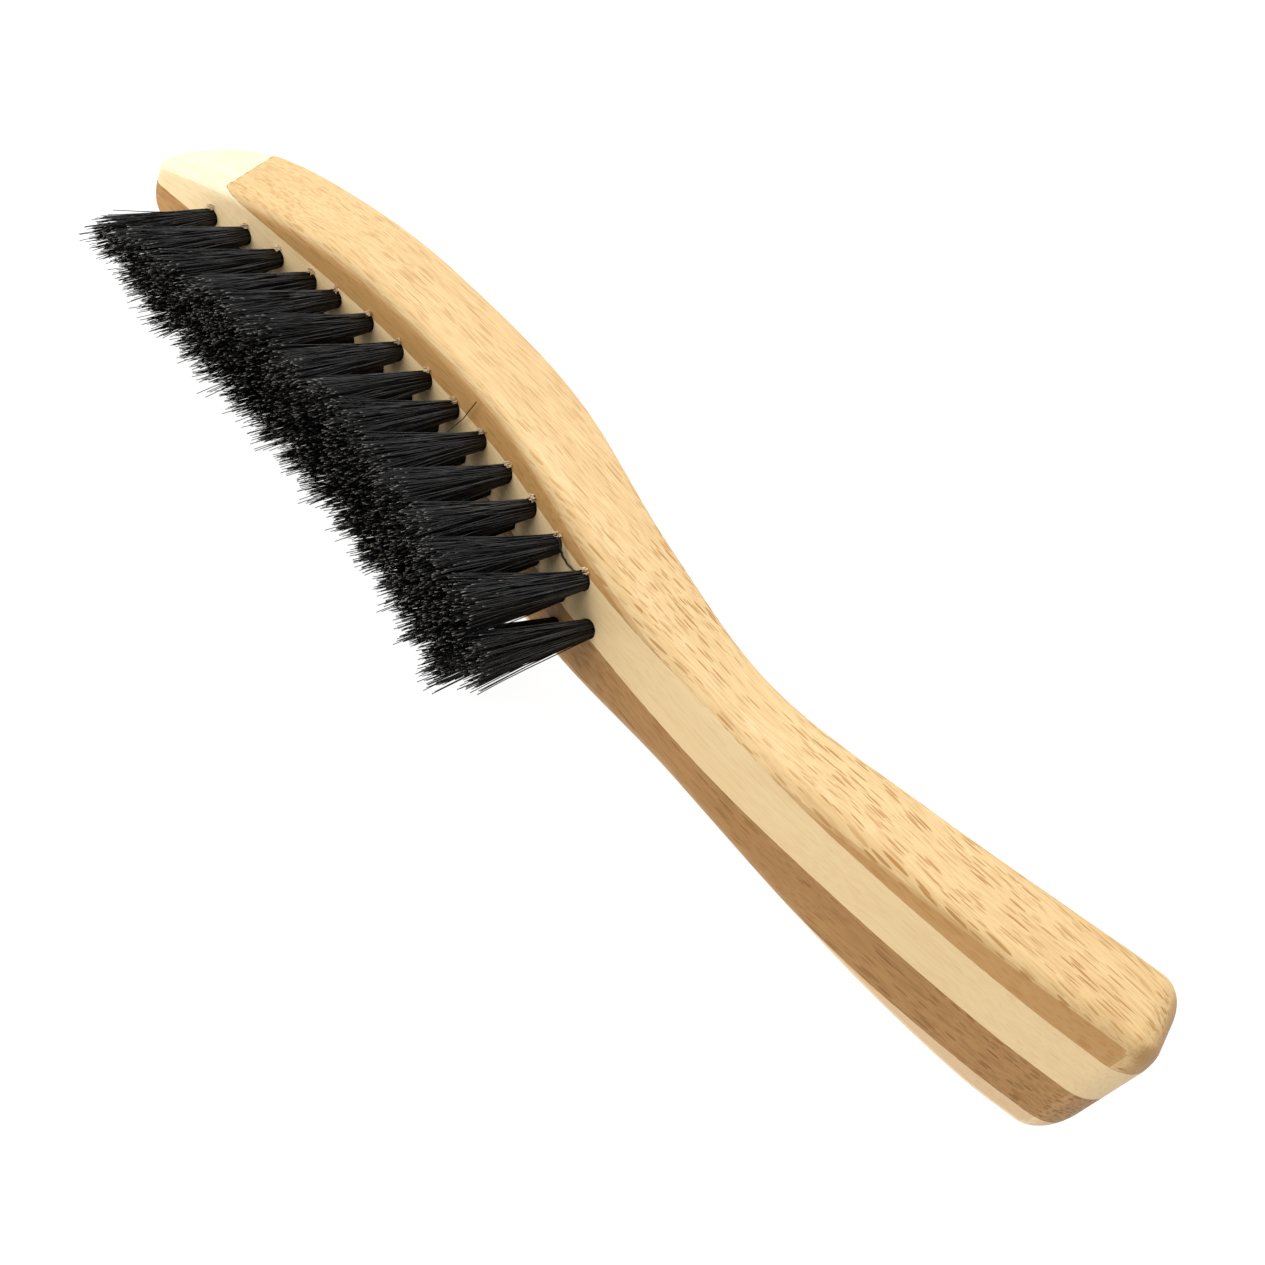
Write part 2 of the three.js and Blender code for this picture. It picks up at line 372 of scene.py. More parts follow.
def holeMesh():
    mesh = bmesh.new()
    length = tuft["holeDepth"] + 4
    for one in tufts:
        turn = one["out"].to_track_quat("Z", "X").to_matrix().to_4x4()
        middle = one["mouth"] + one["out"] * (length / 2 - tuft["holeDepth"])
        bmesh.ops.create_cone(mesh, cap_ends=True, segments=tuft["holeSides"], radius1=tuft["holeRadius"],
                              radius2=tuft["holeRadius"], depth=length,
                              matrix=Matrix.Translation(middle) @ turn)
    return mesh


def drillBody():
    solid = newPiece("wholeBody", body)
    drills = newPiece("drills", holeMesh())
    cut = solid.modifiers.new("drill", "BOOLEAN")
    cut.operation = "DIFFERENCE"
    cut.solver = "EXACT"
    cut.object = drills
    drilled = bpy.data.meshes.new_from_object(solid.evaluated_get(bpy.context.evaluated_depsgraph_get()))
    for spare in (solid, drills):
        bpy.data.objects.remove(spare)
    return drilled


drilledBody = drillBody()
print("body lofted and drilled:", len(drilledBody.polygons), "faces")


def keepSide(mesh, place, normal):
    # cuts on a plane, keeps what lies behind its normal and closes the cut
    geometry = mesh.verts[:] + mesh.edges[:] + mesh.faces[:]
    cut = bmesh.ops.bisect_plane(mesh, geom=geometry, dist=1e-5, plane_co=place, plane_no=normal,
                                 clear_outer=True)
    edges = [e for e in cut["geom_cut"] if isinstance(e, bmesh.types.BMEdge)]
    if edges:
        bmesh.ops.holes_fill(mesh, edges=edges)


def plyPiece(name, low, high, fromX=None, toX=None):
    mesh = bmesh.new()
    mesh.from_mesh(drilledBody)
    keepSide(mesh, (0, 0, high), (0, 0, 1))
    keepSide(mesh, (0, 0, low), (0, 0, -1))
    if fromX is not None:
        keepSide(mesh, (fromX, 0, 0), (-1, 0, 0))
    if toX is not None:
        keepSide(mesh, (toX, 0, 0), (1, 0, 0))
    bmesh.ops.remove_doubles(mesh, verts=mesh.verts, dist=1e-4)
    bmesh.ops.dissolve_degenerate(mesh, edges=mesh.edges, dist=1e-4)
    bmesh.ops.triangulate(mesh, faces=[f for f in mesh.faces if len(f.verts) > 4])
    mesh.transform(toFrame)
    return newPiece(name, mesh, smoothAngle=38)


beyond = shape["board"]
waistX = 0.68 * shape["length"]
plies = {
    "plyTop": (plyPiece("plyTop", glueTop, beyond), "ply_top", "upper_ply"),
    "plyCore": (plyPiece("plyCore", glueMiddle, glueTop), "ply_core", "core_ply"),
    "plyLower": (plyPiece("plyLower", glueLow, glueMiddle), "ply_lower", "lower_ply"),
    "plyBottomHead": (plyPiece("plyBottomHead", -beyond, glueLow, toX=waistX), "ply_bottom_head",
                      "bottom_ply"),
    "plyBottomHandle": (plyPiece("plyBottomHandle", -beyond, glueLow, fromX=waistX), "ply_bottom_handle",
                        "bottom_ply"),
}
for name, (piece, node, slot) in plies.items():
    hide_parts(node)
    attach(piece, "root")
    print(" ", name, len(piece.data.polygons), "faces")
print("plies sawn")


# bamboo: fibre bundles are thin spindles along the brush, so a level cut shows them as dashes, a sloping
# cut as shorter ones and a square cut as dots

def makeFibreGroup():
    tree, given, made = newGroup(
        "bambooFibres",
        [("Place", "NodeSocketVector", None), ("Bundle Spacing", "NodeSocketFloat", 0.7),
         ("Bundle Length", "NodeSocketFloat", 5.0), ("Amount", "NodeSocketFloat", 0.3)],
        [("Bundles", "NodeSocketFloat"), ("Fine Grain", "NodeSocketFloat"), ("Tone", "NodeSocketFloat")])
    inMm = scaled(tree, given["Place"], 1 / mm)
    x, y, z = split(tree, inMm)
    # a slow wander keeps the bundles from being dead straight
    slow = addNode(tree, "ShaderNodeTexNoise")
    plug(tree, inMm, slow.inputs["Vector"])
    slow.inputs["Scale"].default_value = 0.03
    slow.inputs["Detail"].default_value = 2.0
    wander = addNode(tree, "ShaderNodeSeparateColor")
    plug(tree, slow.outputs["Color"], wander.inputs[0])
    y = mathNode(tree, "ADD", y, mathNode(tree, "MULTIPLY", wander.outputs[0], 5.0))
    z = mathNode(tree, "ADD", z, mathNode(tree, "MULTIPLY", wander.outputs[1], 2.0))
    spindles = join(tree, mathNode(tree, "DIVIDE", x, given["Bundle Length"]),
                    mathNode(tree, "DIVIDE", y, given["Bundle Spacing"]),
                    mathNode(tree, "DIVIDE", z, given["Bundle Spacing"]))
    cells = addNode(tree, "ShaderNodeTexVoronoi", feature="F1", voronoi_dimensions="3D")
    plug(tree, spindles, cells.inputs["Vector"])
    cells.inputs["Scale"].default_value = 1.0
    cells.inputs["Randomness"].default_value = 0.9
    pick = addNode(tree, "ShaderNodeSeparateColor")
    plug(tree, cells.outputs["Color"], pick.inputs[0])
    # patches where the bundles stand thicker or thinner
    patch = noise(tree, stretch(tree, x, y, z, (0.05, 0.12, 0.2)), 1.0, 1.0)
    swell = fade(tree, patch, 0.3, 0.55, 0.65, 1.0)
    reach = mathNode(tree, "MULTIPLY", given["Amount"], fade(tree, pick.outputs[0], 0.0, 1.0, 0.55, 1.0))
    reach = mathNode(tree, "MULTIPLY", reach, swell)
    near = mathNode(tree, "SUBTRACT", reach, cells.outputs["Distance"])
    bundles = fade(tree, near, -0.04, 0.07)
    depth = mathNode(tree, "MULTIPLY", fade(tree, pick.outputs[1], 0.0, 0.9, 0.5, 1.0), swell)
    plug(tree, mathNode(tree, "MULTIPLY", bundles, depth), made["Bundles"])
    plug(tree, noise(tree, stretch(tree, x, y, z, (0.22, 3.6, 3.6)), 1.0, 3.0, 0.6), made["Fine Grain"])
    plug(tree, noise(tree, stretch(tree, x, y, z, (0.02, 0.3, 0.3)), 1.0, 2.0), made["Tone"])
    return tree


def makeSeamGroup():
    # a thin dark glue line at a height, with a slight waver
    tree, given, made = newGroup(
        "glueSeam",
        [("Place", "NodeSocketVector", None), ("Height", "NodeSocketFloat", 0.0),
         ("Width", "NodeSocketFloat", 0.12)],
        [("Seam", "NodeSocketFloat")])
    inMm = scaled(tree, given["Place"], 1 / mm)
    x, y, z = split(tree, inMm)
    waver = mathNode(tree, "MULTIPLY", noise(tree, inMm, 0.9, 2.0), 0.16)
    off = mathNode(tree, "ABSOLUTE", mathNode(tree, "SUBTRACT", z, given["Height"]))
    plug(tree, fade(tree, mathNode(tree, "ADD", off, waver), 0.06, given["Width"], 1.0, 0.0), made["Seam"])
    return tree


fibreGroup = makeFibreGroup()
seamGroup = makeSeamGroup()

# light is the tone of faces turned up to the lamps; side is the same wood with painted shade, for faces
# turned away from them
bamboo = {
    "upperBamboo": {"light": (0.735, 0.52, 0.255, 1), "side": (0.47, 0.265, 0.095, 1),
                    "dark": (0.42, 0.215, 0.065, 1), "size": 0.43, "span": 4.4, "amount": 0.46,
                    "strength": 1.0, "seams": (glueTop,), "grain": 0.42},
    "coreBamboo": {"light": (0.74, 0.55, 0.30, 1), "side": (0.74, 0.55, 0.30, 1),
                   # the core's tip tone is a painted highlight where its end faces the lamps
                   "tip": (0.93, 0.84, 0.58, 1), "dark": (0.58, 0.37, 0.15, 1), "size": 0.5, "span": 6.0,
                   "amount": 0.3, "strength": 0.22, "seams": (glueTop, glueMiddle), "grain": 0.25},
    "lowerBamboo": {"light": (0.50, 0.285, 0.11, 1), "side": (0.395, 0.21, 0.072, 1),
                    "dark": (0.22, 0.10, 0.028, 1), "size": 0.5, "span": 4.0, "amount": 0.44,
                    "strength": 0.75, "seams": (glueMiddle, glueLow), "grain": 0.5},
    "bottomBamboo": {"light": (0.84, 0.66, 0.40, 1), "side": (0.68, 0.48, 0.28, 1),
                     "dark": (0.55, 0.36, 0.16, 1), "size": 0.5, "span": 6.0, "amount": 0.3, "strength": 0.3,
                     "seams": (glueLow,), "grain": 0.25},
}
faces = {"sideFrom": 0.86, "sideTo": 0.94,          # how squarely a face turns sideways, or to the ends, before it takes the side tone, painted shade on the same wood
         "endFrom": 0.35, "endTo": 0.75,            # before it shows the strips' browner tone
         "headFrom": 0.42, "headTo": 0.62,          # shares of the length where the painted light on the head's side tone ends
         "headPaintedLight": 1.3, "headMarks": 0.55,
         "tipHighlightFrom": 24.0, "tipHighlightTo": 32.0, "tipHighlightOnSide": 0.15}     # where the core tip's painted highlight fades out
relief = {"strength": 0.22, "distance": 0.12, "grain": 0.35, "bundles": -0.5, "seams": 0.4}


def bambooMaterial(name, look):
    material, tree, shader = newMaterial(name)
    place = addNode(tree, "ShaderNodeTexCoord").outputs["Object"]
    fibre = useGroup(tree, fibreGroup, Place=place)
    fibre["Bundles"].node.inputs["Bundle Spacing"].default_value = look["size"]
    fibre["Bundles"].node.inputs["Bundle Length"].default_value = look["span"]
    fibre["Bundles"].node.inputs["Amount"].default_value = look["amount"]
    # the bristle side, the back and the ends take the darker side tone: painted shade on the same wood as the
    # lit faces
    facing = split(tree, addNode(tree, "ShaderNodeNewGeometry").outputs["True Normal"])
    sideways = fade(tree, mathNode(tree, "ABSOLUTE", facing["Y"]), faces["sideFrom"], faces["sideTo"])
    endways = fade(tree, mathNode(tree, "ABSOLUTE", facing["X"]), faces["endFrom"], faces["endTo"])
    along = split(tree, place)["X"]
    headFrom, headTo = (faces[key] * shape["length"] * mm + shift.x for key in ("headFrom", "headTo"))
    onHead = fade(tree, along, headFrom, headTo, 1.0, 0.0)
    # on the head the side tone is made paler: painted light that makes up for the shade the bristles cast on
    # that face
    headSideLit = tuple(faces["headPaintedLight"] * c for c in look["side"][:3]) + (1.0,)
    shadedSideTone = mixColour(tree, onHead, look["side"], headSideLit)
    ground = mixColour(tree, mathNode(tree, "MAXIMUM", sideways, endways), look["light"], shadedSideTone)
    # painted highlight: the core's pale tip tone near the tip, weaker on faces turned sideways
    if "tip" in look:
        near, far = (faces[key] * mm + shift.x for key in ("tipHighlightFrom", "tipHighlightTo"))
        tipHighlight = mathNode(tree, "MULTIPLY", fade(tree, along, near, far, 1.0, 0.0),
                         fade(tree, sideways, 0.0, 1.0, 1.0, faces["tipHighlightOnSide"]))
        ground = mixColour(tree, tipHighlight, ground, look["tip"])
    grainDark = fade(tree, fibre["Fine Grain"], 0.38, 0.72, 0.0, look["grain"])
    colour = mixColour(tree, grainDark, ground, look["dark"])
    toneDark = fade(tree, fibre["Tone"], 0.35, 0.7, 0.0, 0.2)
    colour = mixColour(tree, toneDark, colour, look["dark"])
    # the bundles stand out less on the head than on the neck and handle
    marks = mathNode(tree, "MULTIPLY", fibre["Bundles"],
                     fade(tree, onHead, 0.0, 1.0, look["strength"], faces["headMarks"] * look["strength"]))
    colour = mixColour(tree, marks, colour, look["dark"])
    seams = 0.0
    for height in look["seams"]:
        seam = useGroup(tree, seamGroup, Place=place)
        seam["Seam"].node.inputs["Height"].default_value = height + shift.z / mm
        seams = mathNode(tree, "MAXIMUM", seams, seam["Seam"])
    seamTone = tuple(0.45 * c for c in look["dark"][:3]) + (1.0,)
    colour = mixColour(tree, mathNode(tree, "MULTIPLY", seams, 0.6), colour, seamTone)
    plug(tree, colour, shader.inputs["Base Color"])
    rough = fade(tree, fibre["Fine Grain"], 0.3, 0.75, 0.46, 0.6)
    plug(tree, mathNode(tree, "ADD", rough, mathNode(tree, "MULTIPLY", fibre["Bundles"], 0.1)),
         shader.inputs["Roughness"])
    height = mathNode(tree, "ADD", mathNode(tree, "MULTIPLY", fibre["Fine Grain"], relief["grain"]),
                      mathNode(tree, "MULTIPLY", fibre["Bundles"], relief["bundles"]))
    height = mathNode(tree, "SUBTRACT", height, mathNode(tree, "MULTIPLY", seams, relief["seams"]))
    bumpFrom(tree, height, relief["strength"], relief["distance"] * mm, shader)
    shader.inputs["Specular IOR Level"].default_value = 0.25
    return material


woodOf = {"plyTop": "upperBamboo", "plyCore": "coreBamboo", "plyLower": "lowerBamboo",
          "plyBottomHead": "bottomBamboo", "plyBottomHandle": "bottomBamboo"}
woods = {name: bambooMaterial(name, look) for name, look in bamboo.items()}
for name, (piece, node, slot) in plies.items():
    piece.data.materials.append(woods[woodOf[name]])
print("bamboo finished")


# bristle

def bristleMaterial():
    material, tree, shader = newMaterial("blackBristle")
    place = addNode(tree, "ShaderNodeTexCoord").outputs["Object"]
    along = addNode(tree, "ShaderNodeAttribute", attribute_name="alongBristle").outputs["Fac"]
    shade = addNode(tree, "ShaderNodeAttribute", attribute_name="bristleShade").outputs["Fac"]
    glint = fade(tree, shade, 0.7, 1.0)
    colour = mixColour(tree, glint, (0.0012, 0.0012, 0.0014, 1), (0.018, 0.018, 0.02, 1))
    flag = mathNode(tree, "MULTIPLY", fade(tree, along, 0.975, 1.0), fade(tree, shade, 0.45, 0.9))
    colour = mixColour(tree, flag, colour, (0.30, 0.28, 0.25, 1))
    plug(tree, colour, shader.inputs["Base Color"])
    scuff = noise(tree, place, 900.0, 2.0)
    plug(tree, fade(tree, scuff, 0.3, 0.7, 0.34, 0.55), shader.inputs["Roughness"])
    bumpFrom(tree, noise(tree, place, 4000.0, 1.0), 0.15, 0.02 * mm, shader)
    shader.inputs["Specular IOR Level"].default_value = 0.32
    return material


blackBristle = bristleMaterial()

bristles = {"count": 300, "rootRadius": 1.14, "spread": 1.3, "bow": 0.4, "thickness": 0.15, "clump": 1.15,
            "clumpSize": 26, "trim": 0.7, "short": 0.12, "shortLeast": 0.4, "shortMost": 3.5, "segments": 6,
            "sides": 4, "fanPower": 0.8, "bowPower": 2.0, "clumpPower": 1.6, "waves": 5.0, "ripple": 0.3,
            "taperFrom": 0.55, "taperTo": 0.72}


def newShapeTree(name, numbers):
    # a geometry tree with the given numbers, as (label, kind, start value), and a material as its inputs
    tree = bpy.data.node_groups.new(name, "GeometryNodeTree")
    tree.interface.new_socket("Geometry", in_out="INPUT", socket_type="NodeSocketGeometry")
    for label, kind, value in numbers:
        socket = tree.interface.new_socket(label, in_out="INPUT", socket_type="NodeSocket" + kind)
        socket.default_value = value
    tree.interface.new_socket("Material", in_out="INPUT", socket_type="NodeSocketMaterial")
    tree.interface.new_socket("Geometry", in_out="OUTPUT", socket_type="NodeSocketGeometry")
    return tree, addNode(tree, "NodeGroupInput").outputs


def endTree(tree, geometry, material):
    real = addNode(tree, "GeometryNodeRealizeInstances")
    plug(tree, geometry, real.inputs[0])
    finish = addNode(tree, "GeometryNodeSetMaterial")
    plug(tree, real.outputs[0], finish.inputs["Geometry"])
    plug(tree, material, finish.inputs["Material"])
    plug(tree, finish.outputs[0], addNode(tree, "NodeGroupOutput").inputs[0])


def lineCurve(tree, start, end, points):
    line = addNode(tree, "GeometryNodeCurvePrimitiveLine")
    line.inputs["Start"].default_value = start
    line.inputs["End"].default_value = end
    steps = addNode(tree, "GeometryNodeResampleCurve")
    plug(tree, line.outputs[0], steps.inputs["Curve"])
    steps.inputs["Count"].default_value = points
    return steps.outputs[0]


def moved(tree, geometry, place):
    node = addNode(tree, "GeometryNodeSetPosition")
    plug(tree, geometry, node.inputs["Geometry"])
    plug(tree, place, node.inputs["Position"])
    return node.outputs[0]


def tubeAlong(tree, curve, radius, sides, scale=None):
    ring = addNode(tree, "GeometryNodeCurvePrimitiveCircle")
    ring.inputs["Resolution"].default_value = sides
    plug(tree, radius, ring.inputs["Radius"])
    tube = addNode(tree, "GeometryNodeCurveToMesh")
    plug(tree, curve, tube.inputs["Curve"])
    plug(tree, ring.outputs[0], tube.inputs["Profile Curve"])
    tube.inputs["Fill Caps"].default_value = True
    if scale is not None and "Scale" in tube.inputs:
        plug(tree, scale, tube.inputs["Scale"])
    return tube.outputs[0]


def recall(tree, name, kind):
    node = addNode(tree, "GeometryNodeInputNamedAttribute", data_type=kind)
    node.inputs["Name"].default_value = name
    return node.outputs["Attribute"]


def copyOnPoints(tree, points, shape):
    node = addNode(tree, "GeometryNodeInstanceOnPoints")
    plug(tree, points, node.inputs["Points"])
    plug(tree, shape, node.inputs["Instance"])
    return node


def makeBristleTree():
    # one bunch of bristles in millimetres, rooted at the origin and standing along +Z
    tree, given = newShapeTree("bristleBunch", (
        ("Count", "Int", 150), ("Seed", "Int", 0), ("Root Radius", "Float", 1.0), ("Spread", "Float", 1.0),
        ("Length", "Float", 19.0), ("Inside", "Float", 4.7), ("Bow", "Float", 1.0), ("Trim", "Float", 0.8),
        ("Short Share", "Float", 0.06), ("Clump", "Float", 0.0), ("Thickness", "Float", 0.16)))

    def rand(low, high, offset, group=None):
        node = addNode(tree, "FunctionNodeRandomValue", data_type="FLOAT")
        node.inputs[2].default_value = low
        node.inputs[3].default_value = high
        if group is not None:
            plug(tree, group, node.inputs["ID"])
        plug(tree, mathNode(tree, "ADD", given["Seed"], float(offset)), node.inputs["Seed"])
        return node.outputs[1]

    def store(geometry, name, value, kind):
        node = addNode(tree, "GeometryNodeStoreNamedAttribute", data_type=kind, domain="POINT")
        plug(tree, geometry, node.inputs["Geometry"])
        node.inputs["Name"].default_value = name
        plug(tree, value, node.inputs["Value"])
        return node.outputs["Geometry"]

    angle = mathNode(tree, "MULTIPLY", rand(0.0, 1.0, 1), 2 * math.pi)
    ring = mathNode(tree, "MULTIPLY", mathNode(tree, "SQRT", rand(0.0, 1.0, 2)), given["Root Radius"])
    root = join(tree, mathNode(tree, "MULTIPLY", mathNode(tree, "COSINE", angle), ring),
                mathNode(tree, "MULTIPLY", mathNode(tree, "SINE", angle), ring))
    points = addNode(tree, "GeometryNodePoints")
    plug(tree, given["Count"], points.inputs["Count"])
    bunch = points.outputs[0]
    trimmed = mathNode(tree, "SUBTRACT", given["Length"],
                       mathNode(tree, "MULTIPLY", rand(0.0, 1.0, 3), given["Trim"]))
    index = addNode(tree, "GeometryNodeInputIndex").outputs[0]
    clump = mathNode(tree, "FLOOR", mathNode(tree, "DIVIDE", index, float(bristles["clumpSize"])))
    isShort = mathNode(tree, "LESS_THAN", rand(0.0, 1.0, 4), given["Short Share"])
    cut = mathNode(tree, "MULTIPLY", isShort, rand(bristles["shortLeast"], bristles["shortMost"], 5))
    bend = join(tree, *(rand(-1.0, 1.0, draw) for draw in (6, 7, 8)))
    clumpBend = join(tree, *(rand(-1.0, 1.0, draw, clump) for draw in (10, 11, 12)))
    bunch = store(bunch, "rootPlace", root, "FLOAT_VECTOR")
    bunch = store(bunch, "bend", bend, "FLOAT_VECTOR")
    bunch = store(bunch, "clumpBend", clumpBend, "FLOAT_VECTOR")
    bunch = store(bunch, "reach", mathNode(tree, "SUBTRACT", trimmed, cut), "FLOAT")
    bunch = store(bunch, "bristleShade", rand(0.0, 1.0, 9), "FLOAT")

    copies = copyOnPoints(tree, bunch, lineCurve(tree, (0.0, 0.0, 0.0), (0.0, 0.0, 1.0),
                                                 bristles["segments"] + 1))
    loose = addNode(tree, "GeometryNodeRealizeInstances")
    plug(tree, copies.outputs[0], loose.inputs[0])

    # every bristle fans out from its root, bows a little its own way and leans with its clump
    factor = addNode(tree, "GeometryNodeSplineParameter").outputs["Factor"]
    whole = mathNode(tree, "ADD", recall(tree, "reach", "FLOAT"), given["Inside"])
    height = mathNode(tree, "SUBTRACT", mathNode(tree, "MULTIPLY", factor, whole), given["Inside"])
    above = mathNode(tree, "MAXIMUM", mathNode(tree, "DIVIDE", height, given["Length"]), 0.0)
    fan = mathNode(tree, "MULTIPLY", mathNode(tree, "POWER", above, bristles["fanPower"]), given["Spread"])
    spreadOut = scaled(tree, recall(tree, "rootPlace", "FLOAT_VECTOR"), mathNode(tree, "ADD", fan, 1.0))
    bendX, bendY, bendZ = split(tree, recall(tree, "bend", "FLOAT_VECTOR"))
    bowing = mathNode(tree, "MULTIPLY", mathNode(tree, "POWER", above, bristles["bowPower"]), given["Bow"])
    wave = mathNode(tree, "SINE", mathNode(tree, "MULTIPLY", above, bristles["waves"]))
    ripple = mathNode(tree, "MULTIPLY", wave, mathNode(tree, "MULTIPLY", bendZ, bristles["ripple"]))
    sway = join(tree, mathNode(tree, "ADD", mathNode(tree, "MULTIPLY", bendX, bowing), ripple),
                mathNode(tree, "SUBTRACT", mathNode(tree, "MULTIPLY", bendY, bowing), ripple), height)
    lock = mathNode(tree, "MULTIPLY", mathNode(tree, "POWER", above, bristles["clumpPower"]), given["Clump"])
    sway = vectorNode(tree, "ADD", sway, scaled(tree, recall(tree, "clumpBend", "FLOAT_VECTOR"), lock))
    bent = moved(tree, loose.outputs[0], vectorNode(tree, "ADD", spreadOut, sway))
    marked = store(bent, "alongBristle", factor, "FLOAT")
    taper = fade(tree, factor, bristles["taperFrom"], 1.0, 1.0, bristles["taperTo"])
    smooth = addNode(tree, "GeometryNodeSetShadeSmooth")
    plug(tree, tubeAlong(tree, marked, mathNode(tree, "MULTIPLY", given["Thickness"], 0.5), bristles["sides"],
                         taper), smooth.inputs["Geometry"])
    endTree(tree, smooth.outputs[0], given["Material"])
    return tree


def setInput(modifier, label, value):
    for item in modifier.node_group.interface.items_tree:
        if item.name == label and item.in_out == "INPUT":
            modifier[item.identifier] = value


def plainMesh(name, tree, values, place, base=None):
    # runs a tree once, on a base mesh if it needs one, and keeps its result as a plain mesh at its place
    holder = bpy.data.objects.new(name + "Holder", base or bpy.data.meshes.new(name + "Holder"))
    bpy.context.collection.objects.link(holder)
    modifier = holder.modifiers.new("make", "NODES")
    modifier.node_group = tree
    for label, value in values.items():
        setInput(modifier, label, value)
    mesh = bpy.data.meshes.new_from_object(holder.evaluated_get(bpy.context.evaluated_depsgraph_get()))
    bpy.data.objects.remove(holder)
    mesh.name = name
    mesh.transform(place)
    piece = bpy.data.objects.new(name, mesh)
    bpy.context.collection.objects.link(piece)
    return piece


bristleTree = makeBristleTree()
for number, one in enumerate(tufts):
    turn = one["out"].to_track_quat("Z", "X").to_matrix().to_4x4()
    place = toFrame @ Matrix.Translation(one["mouth"]) @ turn
    values = {"Count": bristles["count"], "Seed": 100 * number + 7, "Root Radius": bristles["rootRadius"],
              "Spread": bristles["spread"], "Length": tuft["length"], "Inside": tuft["inside"],
              "Bow": bristles["bow"], "Trim": bristles["trim"], "Short Share": bristles["short"],
              "Clump": bristles["clump"], "Thickness": bristles["thickness"], "Material": blackBristle}
    piece = plainMesh("bristles_" + one["name"][5:], bristleTree, values, place)
    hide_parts(one["name"])
    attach(piece, "root")
print("tufts filled:", len(tufts), "bunches,", len(piece.data.polygons), "faces each")


# the small pieces: two tones and two roughnesses, mixed by one fine noise
small = {"stapleWire": {"grain": (2500.0, 3.0, 0.6), "blend": (0.35, 0.7), "light": (0.62, 0.61, 0.58, 1),
                        "dark": (0.38, 0.36, 0.33, 1), "rough": (0.25, 0.45), "metal": 1.0},
         "tornFibre": {"grain": (1500.0, 2.0, 0.5), "blend": (0.35, 0.65), "light": (0.92, 0.80, 0.58, 1),
                       "dark": (0.72, 0.50, 0.26, 1), "rough": (0.6, 0.8), "metal": 0.0},
         "brownHair": {"grain": (1200.0, 2.0, 0.5), "blend": (0.3, 0.7), "light": (0.16, 0.055, 0.015, 1),
                       "dark": (0.07, 0.025, 0.008, 1), "rough": (0.35, 0.5), "metal": 0.0}}


def smallMaterial(name):
    look = small[name]
    material, tree, shader = newMaterial(name)
    place = addNode(tree, "ShaderNodeTexCoord").outputs["Object"]
    tone = noise(tree, place, *look["grain"])
    plug(tree, mixColour(tree, fade(tree, tone, *look["blend"]), look["light"], look["dark"]),
         shader.inputs["Base Color"])
    plug(tree, fade(tree, tone, 0.3, 0.7, *look["rough"]), shader.inputs["Roughness"])
    shader.inputs["Metallic"].default_value = look["metal"]
    return material


# staples: a short wire across the bristles near the floor of each hole, its ends turned out
staple = {"depth": 4.55, "half": 0.85, "rise": 0.7, "wire": 0.13, "steps": 13, "sides": 6,
          "bendFrom": 0.55, "widen": 1.3}


def makeStapleTree():
    # one bent wire, copied to every point of the given mesh and turned by that point's lean
    tree, given = newShapeTree("tuftStaples", (
        ("Half Width", "Float", 0.85), ("Rise", "Float", 0.7), ("Wire", "Float", 0.13)))
    x = split(tree, addNode(tree, "GeometryNodeInputPosition").outputs[0])["X"]
    edge = mathNode(tree, "ABSOLUTE", x)
    lift = mathNode(tree, "MULTIPLY", fade(tree, edge, staple["bendFrom"], 1.0), given["Rise"])
    widened = mathNode(tree, "MINIMUM", mathNode(tree, "MULTIPLY", edge, staple["widen"]), 1.0)
    across = mathNode(tree, "MULTIPLY", mathNode(tree, "SIGN", x),
                      mathNode(tree, "MULTIPLY", widened, given["Half Width"]))
    bent = moved(tree, lineCurve(tree, (-1.0, 0.0, 0.0), (1.0, 0.0, 0.0), staple["steps"]),
                 join(tree, across, 0.0, lift))
    copies = copyOnPoints(tree, given["Geometry"], tubeAlong(tree, bent, given["Wire"], staple["sides"]))
    plug(tree, recall(tree, "turn", "FLOAT_VECTOR"), copies.inputs["Rotation"])
    endTree(tree, copies.outputs[0], given["Material"])
    return tree


def staplePoints():
    data = bpy.data.meshes.new("stapleFloor")
    data.from_pydata([one["mouth"] - one["out"] * staple["depth"] for one in tufts], [], [])
    turns = data.attributes.new("turn", "FLOAT_VECTOR", "POINT")
    for item, one in zip(turns.data, tufts):
        item.vector = one["out"].to_track_quat("Z", "X").to_euler()
    return data


values = {"Half Width": staple["half"], "Rise": staple["rise"], "Wire": staple["wire"],
          "Material": smallMaterial("stapleWire")}
staples = plainMesh("staples", makeStapleTree(), values, toFrame, staplePoints())
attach(staples, "root")
print("staples set:", len(staples.data.polygons), "faces")


# torn wood fibres at the upper rim of the holes nearest the top
tornFibre = smallMaterial("tornFibre")
splinters = {"count": 26, "spot": 0.38, "spread": 0.5, "length": 0.75, "inside": 0.4, "bow": 0.25,
             "trim": 0.55, "short": 0.0, "clump": 0.1, "thickness": 0.13, "offset": (-0.25, 0, 1.42)}
rims = bmesh.new()
for number, one in enumerate(tufts):
    if "near" not in one["name"] and "tip" not in one["name"]:
        continue
    turn = one["out"].to_track_quat("Z", "X").to_matrix().to_4x4()
    spot = one["mouth"] + Vector(splinters["offset"])
    values = {"Count": splinters["count"], "Seed": 40 * number + 3, "Root Radius": splinters["spot"],
              "Spread": splinters["spread"], "Length": splinters["length"], "Inside": splinters["inside"],
              "Bow": splinters["bow"], "Trim": splinters["trim"], "Short Share": splinters["short"],
              "Clump": splinters["clump"], "Thickness": splinters["thickness"], "Material": tornFibre}
    piece = plainMesh("splinter", bristleTree, values, toFrame @ Matrix.Translation(spot) @ turn)
    rims.from_mesh(piece.data)
    bpy.data.objects.remove(piece)
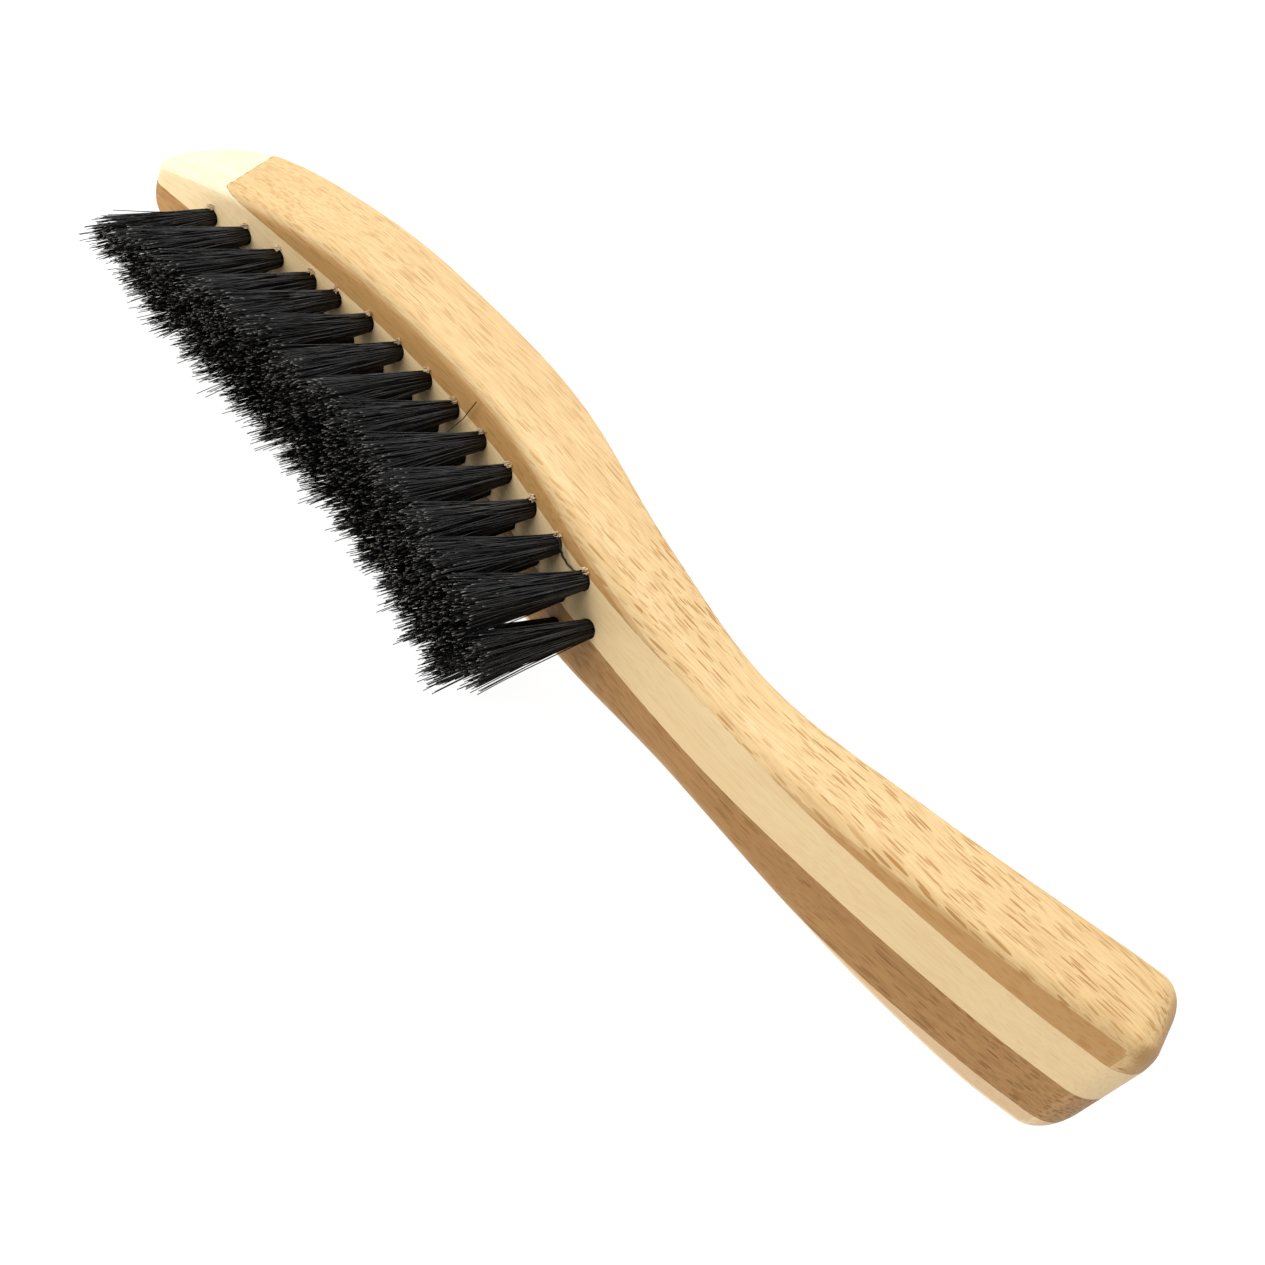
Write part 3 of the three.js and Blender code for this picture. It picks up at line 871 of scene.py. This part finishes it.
rimFibres = newPiece("rimFibres", rims)
rimFibres.data.materials.append(tornFibre)
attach(rimFibres, "root")
print("rim fibres:", len(rimFibres.data.polygons), "faces")


# two loose hairs: a brown one caught between two tufts and a black bristle bent across to the next tuft
hair = {"steps": 6, "sides": 6, "taper": 0.5, "rounding": 2.0}


def hairPiece(name, points, radius, material):
    mesh = bmesh.new()
    rings = []
    steps = hair["steps"] * (len(points) - 1)
    for i in range(steps + 1):
        t = i / steps * (len(points) - 1)
        k = min(int(t), len(points) - 2)
        before, after = Vector(points[max(k - 1, 0)]), Vector(points[min(k + 2, len(points) - 1)])
        a, b, f = Vector(points[k]), Vector(points[k + 1]), t - k
        straight = a.lerp(b, f)
        place = straight + (straight - before.lerp(after, (1 + f) / 3)) * hair["rounding"] * f * (1 - f)
        ray = (b - a).normalized()
        side = ray.cross(Vector((0, 0, 1))).normalized()
        other = ray.cross(side)
        thin = radius * (1 - hair["taper"] * i / steps)
        turns = [2 * math.pi / hair["sides"] * j for j in range(hair["sides"])]
        rings.append([mesh.verts.new(place + (side * math.cos(q) + other * math.sin(q)) * thin)
                      for q in turns])
    for low, high in zip(rings, rings[1:]):
        for i in range(hair["sides"]):
            j = (i + 1) % hair["sides"]
            mesh.faces.new((low[i], low[j], high[j], high[i]))
    mesh.faces.new(rings[0])
    mesh.faces.new(rings[-1])
    bmesh.ops.recalc_face_normals(mesh, faces=mesh.faces)
    mesh.transform(toFrame)
    piece = newPiece(name, mesh, smoothAngle=60)
    piece.data.materials.append(material)
    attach(piece, "root")
    return piece


hairPiece("looseHair", [(66.9, 0.2, 8.4), (66.5, 0.1, 6.3), (65.9, 0.1, 4.2), (65.2, -0.4, 2.2)], 0.09,
          smallMaterial("brownHair"))
hairPiece("bentBristle", [(88.2, -4.6, 6.2), (89.0, -4.8, 5.6), (89.7, -4.9, 5.1), (90.6, -4.9, 4.7),
                          (91.6, -4.9, 4.5), (92.6, -4.9, 4.6)], 0.2, blackBristle)
print("loose hairs laid")


# a white table and soft studio light
studio = {"floor": 60.0, "world": 0.44, "glow": 0.95, "floorTone": 0.14}


def makeFloor():
    mesh = bmesh.new()
    bmesh.ops.create_grid(mesh, x_segments=2, y_segments=2, size=studio["floor"])
    floor = newPiece("floor", mesh)
    material, tree, shader = newMaterial("paleTable")
    tone = studio["floorTone"]
    shader.inputs["Base Color"].default_value = (tone, tone, tone, 1)
    shader.inputs["Emission Color"].default_value = (1, 1, 1, 1)
    shader.inputs["Emission Strength"].default_value = studio["glow"]
    shader.inputs["Roughness"].default_value = 0.9
    shader.inputs["Specular IOR Level"].default_value = 0.1
    floor.data.materials.append(material)
    return floor


lamps = [{"name": "topLight", "place": (-0.2, 0.45, 0.85), "size": 0.6, "power": 9.0, "aim": (0, 0, 0)},
         {"name": "frontLight", "place": (-0.22, -0.42, 0.3), "size": 0.45, "power": 2.0,
          "aim": (-0.03, 0, 0)}]


def makeLamp(lamp):
    data = bpy.data.lights.new(lamp["name"], "AREA")
    data.size = lamp["size"]
    data.energy = lamp["power"]
    light = bpy.data.objects.new(lamp["name"], data)
    bpy.context.collection.objects.link(light)
    light.location = lamp["place"]
    light.rotation_euler = (Vector(lamp["aim"]) - Vector(lamp["place"])).to_track_quat("-Z", "Y").to_euler()


makeFloor()
for lamp in lamps:
    makeLamp(lamp)
world = bpy.data.worlds.new("softRoom")
world.use_nodes = True
world.node_tree.nodes["Background"].inputs["Color"].default_value = (1, 1, 1, 1)
world.node_tree.nodes["Background"].inputs["Strength"].default_value = studio["world"]
bpy.context.scene.world = world
bpy.context.scene.view_settings.view_transform = "Standard"
print("studio lit")
